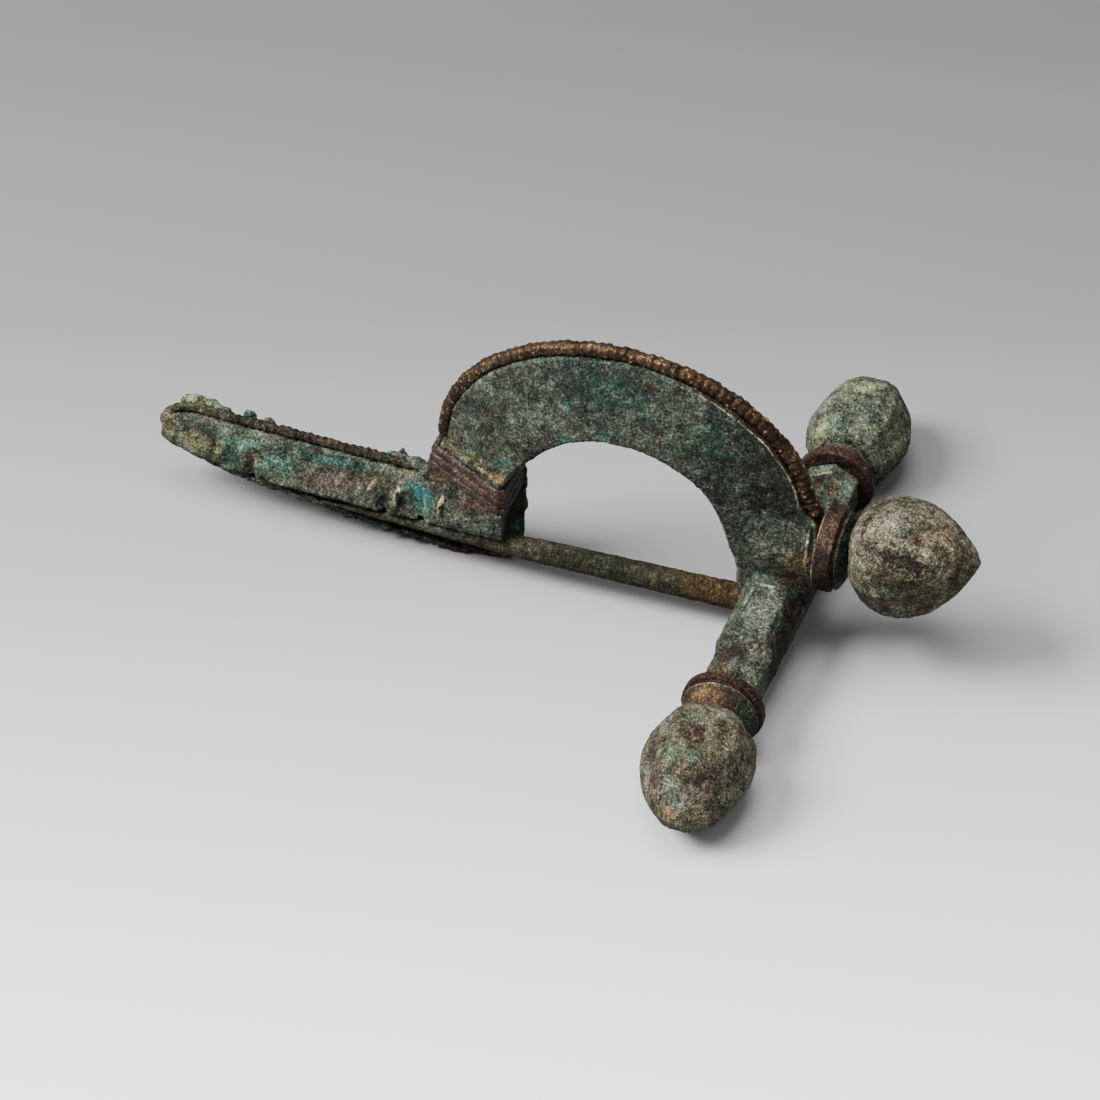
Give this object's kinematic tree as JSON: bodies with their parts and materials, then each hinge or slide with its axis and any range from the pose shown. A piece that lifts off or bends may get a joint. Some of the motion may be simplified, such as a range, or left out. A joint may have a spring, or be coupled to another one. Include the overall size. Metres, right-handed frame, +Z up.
{
  "type": "crossbow brooch",
  "caption": "Cast metal dress brooch with an arched bow, cross-arm with onion knobs, gabled foot with a catch, and a hinged pin.",
  "frame": {"origin": "on the table, below the middle of the whole brooch", "axes": "+X along the brooch from the foot to the head knob, +Y along the cross-arm to the far knob, +Z up from the table to the top of the bow"},
  "size_m": [0.0858, 0.0672, 0.0302],
  "materials": {
    "patina": "matte green-grey patina over cast copper alloy",
    "brown_wire": "brown patina, worn smooth on the high places",
    "knob_patina": "rough grey-green and brown patina",
    "pin_metal": "granular brown and ochre corrosion"
  },
  "bodies": {
    "brooch": {"brooch_body": "patina", "bow_crest_wire": "brown_wire", "foot_ridge_wire": "brown_wire", "bow_foot_collar": "brown_wire", "head_collar": "brown_wire", "head_knob": "knob_patina", "near_collar": "brown_wire", "near_knob": "knob_patina", "far_collar": "brown_wire", "far_knob": "knob_patina"},
    "pin": {"pin": "pin_metal"}
  },
  "joints": [
    {"name": "pin_hinge", "type": "hinge", "parent": "brooch", "child": "pin", "pos_m": [0.02325, -0.0009, 0.0036], "axis": [0, -1, 0], "range_deg": [0, 80]}
  ]
}
